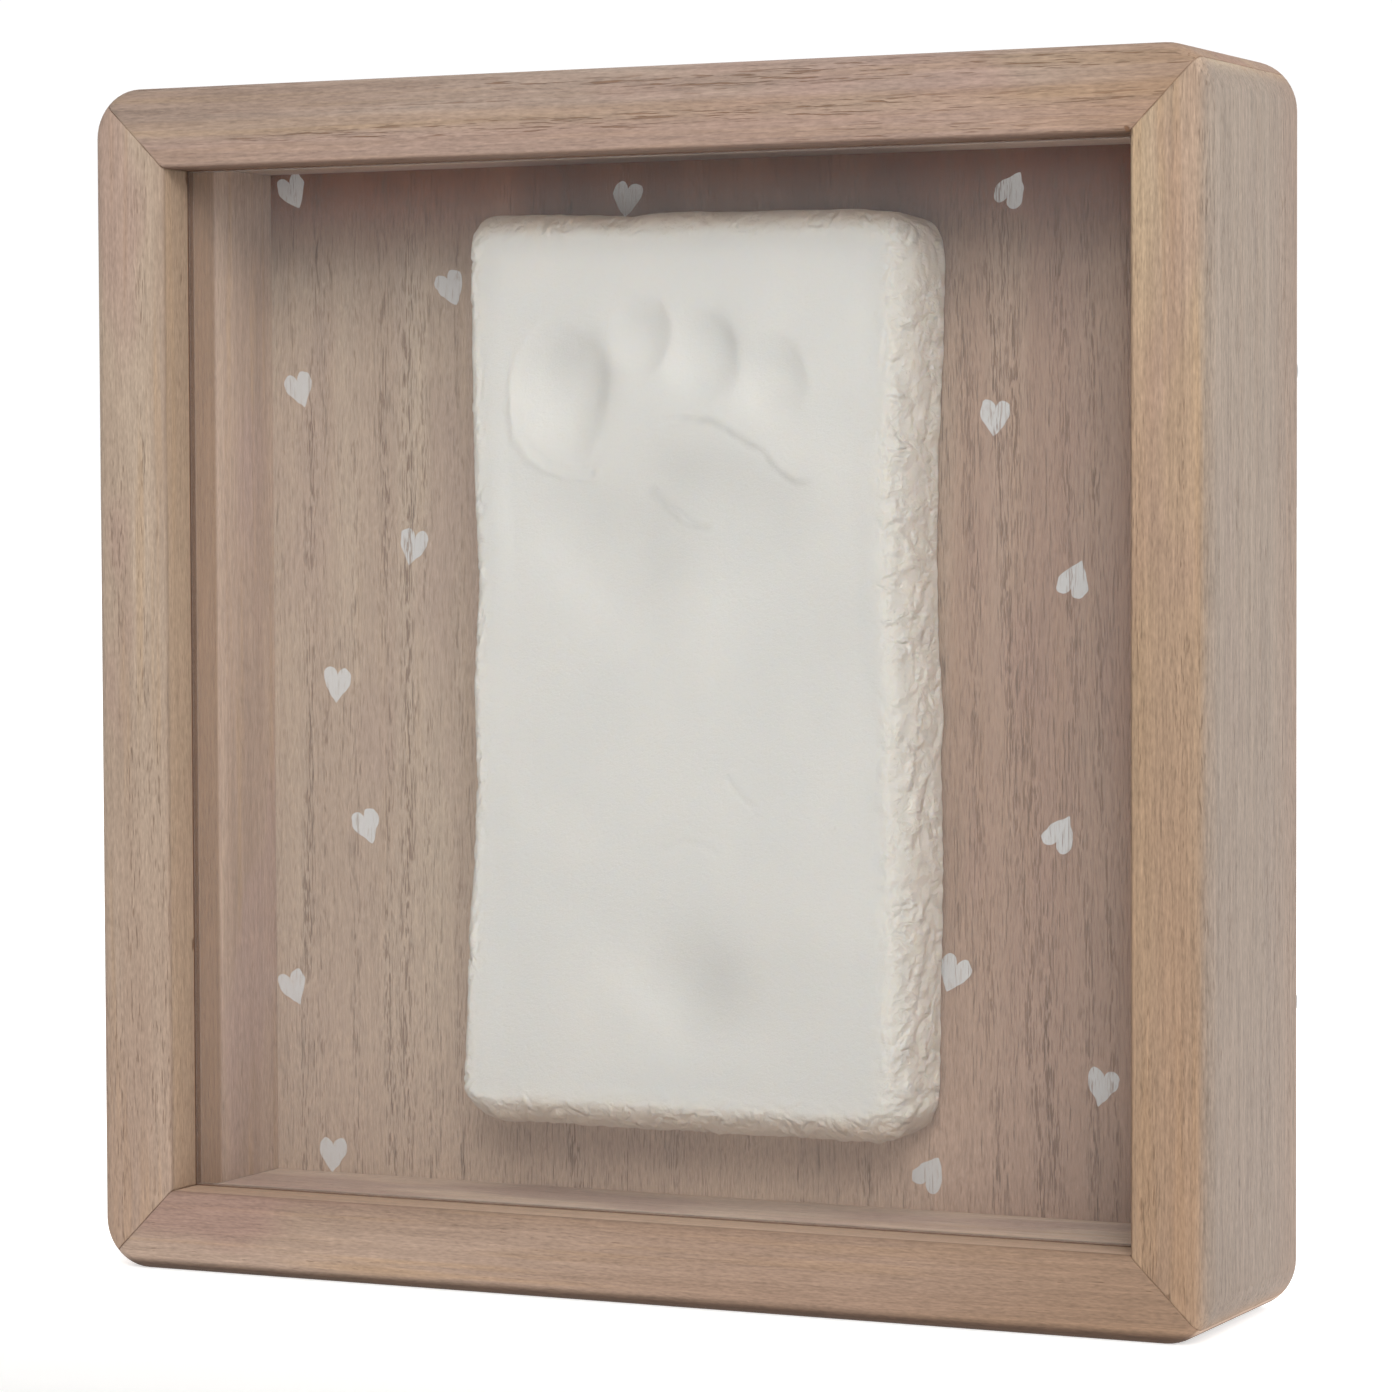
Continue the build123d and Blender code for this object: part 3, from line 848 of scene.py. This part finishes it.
def frameOfSlab(s):                 # middle and half sizes of the outline, mm
    xs = [x for _, x in s["left"] + s["right"]]
    zs = [z for _, z in s["top"] + s["bottom"]]
    return (min(xs) + max(xs)) / 2, (min(zs) + max(zs)) / 2, (max(xs) - min(xs)) / 2, (max(zs) - min(zs)) / 2


def clayBlank(s, halfX, halfZ, depth):      # square block with rings of points round its sides
    linesX, linesZ = gridLines(halfX, s), gridLines(halfZ, s)
    deselectAll()
    bpy.ops.mesh.primitive_grid_add(x_subdivisions=len(linesX) - 1, y_subdivisions=len(linesZ) - 1, size=2,
                                    rotation=(math.pi / 2, 0, 0))
    slab = bpy.context.object
    slab.name = "clay_slab"
    settle(slab)
    # rings from the front edge over the side to the back, as inset and share of the depth
    sideRows = round(depth / s["sideCell"])
    rings = [(0.0, share) for share in np.linspace(0, 1, sideRows + 1)]
    for step in range(1, s["backSteps"] + 1):
        turn = math.pi / 2 * step / s["backSteps"]
        rings.append((s["backRound"] * (1 - math.cos(turn)), 1 + math.sin(turn)))
    rings.append((s["corner"] - 0.4, 2))
    startEdit(slab)
    bpy.ops.mesh.select_all(action="DESELECT")
    bpy.ops.mesh.select_non_manifold()
    for _ in rings[1:]:
        bpy.ops.mesh.extrude_region_move(TRANSFORM_OT_translate={"value": (0, 1, 0)})
    bpy.ops.mesh.edge_face_add()
    bpy.ops.mesh.select_all(action="SELECT")
    bpy.ops.mesh.normals_make_consistent(inside=False)
    endEdit()
    return slab, linesX, linesZ, np.array(rings)


def sculptClay(s):
    low, high = (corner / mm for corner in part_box("footprint_slab"))
    middleX, middleZ, halfX, halfZ = frameOfSlab(s)
    depth = high.y - low.y
    slab, linesX, linesZ, rings = clayBlank(s, halfX, halfZ, depth)
    raw = np.empty(len(slab.data.vertices) * 3)
    slab.data.vertices.foreach_get("co", raw)
    raw = raw.reshape(-1, 3)
    ring = np.rint(raw[:, 1]).astype(int)
    x = np.interp((raw[:, 0] + 1) / 2 * (len(linesX) - 1), range(len(linesX)), linesX)
    z = np.interp((raw[:, 2] + 1) / 2 * (len(linesZ) - 1), range(len(linesZ)), linesZ)
    # square corners to round ones, ring by ring
    overX, overZ = np.abs(x) - (halfX - s["corner"]), np.abs(z) - (halfZ - s["corner"])
    inCorner = (overX > 0) & (overZ > 0)
    reach = np.maximum(overX, overZ)
    spread = np.where(inCorner, reach / np.maximum(np.hypot(overX, overZ), 1e-9), 1)
    x = np.where(inCorner, np.sign(x) * (halfX - s["corner"] + overX * spread), x)
    z = np.where(inCorner, np.sign(z) * (halfZ - s["corner"] + overZ * spread), z)
    inset = np.where(inCorner, s["corner"] - reach, np.minimum(halfX - np.abs(x), halfZ - np.abs(z)))
    push = np.zeros(len(x))
    for (sideX, sideZ), amount in s["cornerPush"].items():
        here = inCorner & (np.sign(x) == sideX) & (np.sign(z) == sideZ)
        fullness = (2 * overX * overZ / np.maximum(overX ** 2 + overZ ** 2, 1e-9)) ** 2
        push = np.where(here, amount * fullness, push)
    push = push * reach / s["corner"]
    nearX = halfX - np.abs(x) < halfZ - np.abs(z)
    turned = spread / np.maximum(reach, 1e-9)
    outX = np.where(inCorner, np.sign(x) * overX * turned, np.where(nearX, np.sign(x), 0))
    outZ = np.where(inCorner, np.sign(z) * overZ * turned, np.where(nearX, 0, np.sign(z)))
    # the front edge is rounded little at the sides and turns into a slanting skirt at the bottom
    upper, lower = smoothStep(0, 1, outZ), smoothStep(0, 1, -outZ)
    beside = [np.where(outX < 0, s["roundLeft"][i], s["roundRight"][i]) for i in (0, 1)]
    inwards, backwards = (beside[i] + (s["roundTop"][i] - beside[i]) * upper
                          + (s["roundBottom"][i] - beside[i]) * lower for i in (0, 1))
    power = 2 - 0.45 * lower
    front = ring == 0
    lean = np.clip(1 - inset / inwards, 0, 1)
    ringInset, ringShare = rings[ring].T
    side = depth - s["backRound"] - backwards
    ringDepth = backwards + side * np.minimum(ringShare, 1) + s["backRound"] * np.clip(ringShare - 1, 0, 1)
    y = np.where(front, backwards * (1 - (1 - lean ** power) ** (1 / power)), ringDepth)
    x = x + outX * (push - ringInset)
    z = z + outZ * (push - ringInset)
    sideways = np.where(front, lean, np.where(ringShare > 1, 0.6, 1.0))
    forwards = np.where(front, np.sqrt(1 - lean ** 2), 0.0)
    # outline as pressed by hand
    x, z = x + middleX, z + middleZ
    atX, atZ = (x - middleX) / halfX, (z - middleZ) / halfZ
    leftX, rightX = (np.interp(z, *zip(*s[name])) for name in ("left", "right"))
    bottomZ, topZ = (np.interp(x, *zip(*s[name])) for name in ("bottom", "top"))
    x = leftX + (rightX - leftX) * (atX + 1) / 2
    z = bottomZ + (topZ - bottomZ) * (atZ + 1) / 2
    y = low.y + y
    points = np.stack((x, y, z), 1)
    edge = np.where(front, smoothStep(9, 1, inset), 1.0)
    wave = clayNoise(points, 0.055, 3.0) + 0.45 * clayNoise(points, 0.16, 8.0)
    out = s["wave"] * wave * edge * sideways
    # crumpled skin round the sides: rounded bumps with sharp valleys
    warp = np.stack([clayNoise(points, 0.22, seed) for seed in (21.0, 34.0, 47.0)], 1)
    bent = points + warp * 1.6
    ragged = inset + 1.1 * clayNoise(points, 0.16, 60.0) + 0.5 * clayNoise(points, 0.5, 61.0)
    skin = np.where(front, smoothStep(inwards + 2.0, inwards - 1.8, ragged), 1.0)
    softSkin = np.where(front, smoothStep(inwards + 3.0, inwards - 1.6, inset), 1.0)
    flat = bent * (1, 0.5, 0.9)
    bumps = np.abs(clayNoise(flat, 0.34, 11.0)) + 0.4 * np.abs(clayNoise(flat, 0.8, 14.0)) - 0.25
    out = out + s["crumple"] * bumps * softSkin * (0.45 + 0.55 * smoothStep(-0.3, 0.9, outX) + 0.2 * lower)
    # slanting folds where the skin turns over the front edge
    travel = np.where(front, inset - 0.6 * inwards, -0.4 * inwards - (y - low.y - backwards))
    runs = np.where(np.abs(outX) > np.abs(outZ), z, x)
    along, across = 0.8 * runs + 0.6 * travel, 0.8 * travel - 0.6 * runs
    slant = np.stack((along * 0.26, across * 0.6, 0.02 * runs), 1) + warp * 0.6
    folds = smoothStep(0.2, 0.0, np.abs(clayNoise(slant, 1.0, 71.0)))
    folds = folds + 0.6 * smoothStep(0.16, 0.0, np.abs(clayNoise(slant, 1.9, 77.0)))
    foldZone = np.exp(-(travel / np.where(travel > 0, 1.5, 2.4 + 1.5 * lower)) ** 2)
    foldPatch = 0.25 + 0.75 * smoothStep(-0.25, 0.2, clayNoise(points, 0.1, 90.0))
    out = out - s["fold"] * folds * foldZone * foldPatch * (1 - 0.6 * upper)
    # gentle swell of the front
    swell = s["swell"] * (clayNoise(points, 0.04, 5.0) + 0.35 * clayNoise(points, 0.13, 6.0))
    out = out + swell * np.where(front, smoothStep(3, 8, inset), 0)
    x = x + outX * out * sideways
    z = z + outZ * out * sideways
    y = y - forwards * out
    # the footprint fades out before the rounded edge
    printed = smoothStep(3.5, 7, inset)
    pressed = np.where(front, footDepth(x, z) * printed, 0)
    # painted shade and light of the footprint, kept in the tint attribute
    tint = np.where(front, paintedClayShade(x, z) * printed, 0)
    y = np.clip(y + pressed, low.y - 0.4, high.y)
    slab.data.vertices.foreach_set("co", (np.stack((x, y, z), 1) * mm).ravel())
    for name, values in (("skin", skin), ("tint", tint)):
        mask = slab.data.attributes.new(name, "FLOAT", "POINT")
        mask.data.foreach_set("value", values.astype(np.float32))
    slab.data.update()
    pick(slab)
    bpy.ops.object.shade_smooth()
    return slab


clayLooks = {
    "front": (shade(199, 198, 194), shade(203, 201, 196)),
    # the sides are lighter than the front: partly the cream of the clay's skin, partly painted light
    "edge": shade(206, 202, 194), "side": shade(231, 226, 216),
    "sideFrom": (1.0, 4.5),         # mm behind the front
    # painted shade: the top and bottom ends of the slab darker
    "end": shade(192, 176, 160), "bottomShade": (27, 22.5), "topShade": (147.5, 150.5),     # mm, heights
    "speck": shade(120, 112, 100),
    "softness": 0.35, "softDepth": (1.6, 1.1, 0.7),     # how much light sinks in, and how far in mm
    "bump": 0.2,                    # mm
}


def clayMaterial(s):
    material, principled, where = newMaterial("white_clay")
    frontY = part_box("footprint_slab")[0].y / mm
    skin, tint = where.attribute("skin"), where.attribute("tint")
    front = where.noise(scale=0.05, detail=3.0).rise(0.35, 0.7).mixed(*s["front"])
    # painted light, with the clay's cream skin: the sides lighter than the edge of the front
    sideways = where.part("Y").rise(*(frontY + depth for depth in s["sideFrom"]))
    height = where.part("Z")
    # painted shade: darker at the slab's top and bottom ends
    ends = height.rise(*s["bottomShade"]).maths("MAXIMUM", height.rise(*s["topShade"]))
    raw = (ends * 0.85).mixed(sideways.mixed(s["edge"], s["side"]), s["end"])
    # the front takes the painted shade and light kept in tint
    colour = skin.mixed(front.times(tint + 1.0), raw)
    fine = where.noise(scale=1.6, detail=4.0, roughness=0.6)
    micro = where.noise(scale=6.0, detail=2.0)
    colour = colour.times((fine - 0.5) * 0.05 + 1.0)
    colour = (where.cells(0.1).rise(0.018, 0.01) * 0.6).mixed(colour, s["speck"])
    pits = where.cells(1.5).rise(0.34, 0.12) * where.noise(scale=0.3, detail=2.0).rise(0.42, 0.6)
    # crumpled skin: sharp valleys between rounded bumps, in two sizes
    turned = where.stretched(1, 0.5, 1)
    wide = abs(turned.noise(scale=0.3, detail=1.5, distortion=0.5) - 0.5)
    small = abs(turned.moved(7, 3, 5).noise(scale=0.8, detail=1.0, distortion=0.5) - 0.5)
    patch = where.noise(scale=0.16, detail=2.0).rise(0.36, 0.58) * 0.7 + 0.3
    crumple = (wide.rise(0.0, 0.2) * 1.9 + small.rise(0.0, 0.18) * 0.5) * patch - pits * 0.4
    relief = (fine * 0.35 + micro * 0.12) + crumple * (skin * skin * 0.85)
    plug(principled, Base_Color=colour, Roughness=0.78 + fine * 0.1, Normal=bumped(relief, s["bump"]),
         Specular_IOR_Level=0.25, Subsurface_Weight=s["softness"], Subsurface_Scale=1.0,
         Subsurface_Radius=[depth * mm for depth in s["softDepth"]])
    return material


def addSlab():
    slab = sculptClay(clay)
    giveMaterial(slab, clayMaterial(clayLooks))
    place(slab, "root", "clay", "footprint_slab")


addSlab()
print("clay slab is sculpted")


# foam pads, squeezed a little at their edges
# painted shade: the cells are darker in their hollows
foam = {"cells": 2.4, "hollowShade": shade(206, 204, 198), "wall": shade(232, 230, 226),    # cells per mm
        "relief": 0.12, "bevel": (0.22, 3)}


def foamMaterial(s):
    material, principled, where = newMaterial("white_foam")
    cells = where.cells(s["cells"], feature="SMOOTH_F1")
    # painted shade in the hollows of the cells
    colour = cells.rise(0.1, 0.6).mixed(s["hollowShade"], s["wall"])
    plug(principled, Base_Color=colour, Roughness=0.9, Normal=bumped(cells, s["relief"]),
         Specular_IOR_Level=0.2)
    return material


dress("adhesive_pads", "foam_pads", foam["bevel"], foamMaterial(foam), "foam")
print("foam pads are stuck on")


# steel hardware on the back
zincPlate = {"dull": (0.36, 0.37, 0.38, 1), "bright": (0.52, 0.52, 0.51, 1), "tarnish": (0.42, 0.37, 0.3, 1),
             "stain": 0.35, "scratch": 0.12, "relief": 0.012, "rough": 0.34, "spangle": 0.3}
brightSteel = {**zincPlate, "dull": (0.4, 0.4, 0.39, 1), "tarnish": (0.3, 0.24, 0.19, 1),
               "stain": 0.5, "scratch": 0.2, "rough": 0.28, "spangle": 0.9}


def steelMaterial(name, s):
    material, principled, where = newMaterial(name)
    spangle = where.cells(s["spangle"], "Color")
    blotch = where.noise(scale=0.35, detail=4.0, roughness=0.6)
    scratches = where.stretched(0.6, 6.0, 9.0).noise(detail=3.0, roughness=0.7)
    colour = (spangle.part("X") * 0.5 + blotch * 0.5).mixed(s["dull"], s["bright"])
    stain = blotch.rise(0.55, 0.72)
    colour = (stain * s["stain"]).mixed(colour, s["tarnish"])
    rough = spangle.part("Y") * 0.1 + scratches * s["scratch"] + stain * 0.18 + s["rough"]
    plug(principled, Base_Color=colour, Metallic=1.0, Roughness=rough,
         Normal=bumped(scratches, s["relief"]))
    return material


# sizes in mm, spots as x and z, and the height of the seat under the heads
fasteners = {
    "button_screws": {
        "spots": [(side * 81.0, height) for side in (-1, 1) for height in (42.0, 128.0)], "seatY": 18.7,
        "headRadius": 2.7, "headHeight": 1.6, "dome": 1.05, "shankRadius": 1.3, "shankLength": 7.5,
        "tip": 2.5, "cross": (3.3, 0.7, 1.0), "sides": 48,
    },
    "hanger_nails": {
        "spots": [(-16.5, 165.5), (16.5, 165.5)], "seatY": 18.3,
        "headRadius": 1.6, "headHeight": 0.6, "dome": 0.3, "shankRadius": 0.7, "shankLength": 5.6,
        "tip": 1.4, "cross": None, "sides": 32,
    },
}
hardwareBevels = {"button": (0.22, 3), "hanger": (0.1, 2), "wedge": (0.06, 1)}      # mm


def crossCutter(length, width, deep, topY):     # tapered cross, wide end at topY
    blades = []
    for size in ((length, width), (width, length)):
        deselectAll()
        bpy.ops.mesh.primitive_cube_add(size=mm, location=(0, topY * mm, 0))
        blade = bpy.context.object
        blade.scale = (size[0], 2 * deep, size[1])
        settle(blade)
        selectFaces(blade, lambda middle, normal: normal.y < -0.5)
        bpy.ops.transform.resize(value=(0.55, 1, 0.55), center_override=(0, (topY - deep) * mm, 0))
        endEdit()
        blades.append(blade)
    return blades


def modelFastener(s):               # head's seat at the origin, shank towards -Y
    deselectAll()
    bpy.ops.mesh.primitive_cylinder_add(
        vertices=s["sides"], radius=s["headRadius"] * mm, depth=s["headHeight"] * mm,
        location=(0, s["headHeight"] / 2 * mm, 0), rotation=(math.pi / 2, 0, 0))
    piece = bpy.context.object
    settle(piece)
    selectFaces(piece, lambda middle, normal: normal.y < -0.9)
    bpy.ops.mesh.inset(thickness=(s["headRadius"] - s["shankRadius"]) * mm)
    bpy.ops.mesh.extrude_region_move(TRANSFORM_OT_translate={"value": (0, -s["shankLength"] * mm, 0)})
    bpy.ops.mesh.extrude_region_move(TRANSFORM_OT_translate={"value": (0, -s["tip"] * mm, 0)})
    tipY = -(s["shankLength"] + s["tip"]) * mm
    bpy.ops.transform.resize(value=(0.08, 1, 0.08), center_override=(0, tipY, 0))
    endEdit()
    selectFaces(piece, lambda middle, normal: normal.y > 0.9)
    bpy.ops.mesh.bevel(offset=s["dome"] * mm, segments=6, profile=0.5, affect="EDGES")
    endEdit()
    if s["cross"]:
        blades = crossCutter(*s["cross"], s["headHeight"])
        for blade in blades:
            cut = piece.modifiers.new("cut", "BOOLEAN")
            cut.operation = "DIFFERENCE"
            cut.solver = "EXACT"
            cut.object = blade
        applyModifiers(piece)
        deselectAll()
        for blade in blades:
            blade.select_set(True)
        bpy.ops.object.delete()
    smoothed(piece, 35)
    return piece


def addFasteners(nodeName, s, material):
    first = modelFastener(s)
    copies = []
    for number, (x, z) in enumerate(s["spots"]):
        copy = first.copy()
        copy.data = first.data.copy()
        bpy.context.scene.collection.objects.link(copy)
        copy.rotation_euler = (0, 0.7 + 1.9 * number, 0)
        copy.location = Vector((x, s["seatY"], z)) * mm
        settle(copy)
        copies.append(copy)
    bpy.data.objects.remove(first)
    piece = joined(copies)
    piece.name = nodeName.replace("_", "_steel_", 1)
    giveMaterial(piece, material)
    place(piece, "root", "bright_steel", nodeName)


def addHardware():
    plated = steelMaterial("zinc_plate", zincPlate)
    bright = steelMaterial("bright_steel_wire", brightSteel)
    for name in ("upper_left", "upper_right", "lower_left", "lower_right"):
        nodeName = "turn_button_" + name
        dress(nodeName, "latch_" + name, hardwareBevels["button"], plated, "plated_steel", nodeName)
    dress("sawtooth_hanger", "tooth_hanger", hardwareBevels["hanger"], plated, "plated_steel")
    dress("corner_wedge_nails", "wedge_nails", hardwareBevels["wedge"], bright, "bright_steel")
    for nodeName, settings in fasteners.items():
        addFasteners(nodeName, settings, bright)


addHardware()
print("hardware is screwed on")


# pane, with a painted shadow round its edge, where the shade behind the lip shows
paneLooks = {
    "colour": (0.95, 0.97, 0.96, 1), "clear": 0.035,
    # painted shadow: a dark band round the pane's edge, where the shade behind the lip shows
    "rim": (73.2, 73.36),           # mm from the middle
    "paneShadowColour": shade(112, 80, 60), "paneShadowShare": 0.6,
}


def addPane(s):
    material, principled, where = newMaterial("clear_pane")
    smear = where.noise(scale=0.03, detail=2.0)
    away = abs(where.part("X")).maths("MAXIMUM", abs(where.part("Z") - middleHeight))
    # painted shadow round the pane's edge
    rim = away.rise(*s["rim"])
    plug(principled, Base_Color=rim.mixed(s["colour"], s["paneShadowColour"]),
         Roughness=0.02 + smear * 0.03 + rim * 0.6, Alpha=rim * s["paneShadowShare"] + s["clear"],
         Specular_IOR_Level=0.5)
    giveMaterial(nodes["window_pane"], material)


addPane(paneLooks)
print("pane is fitted")
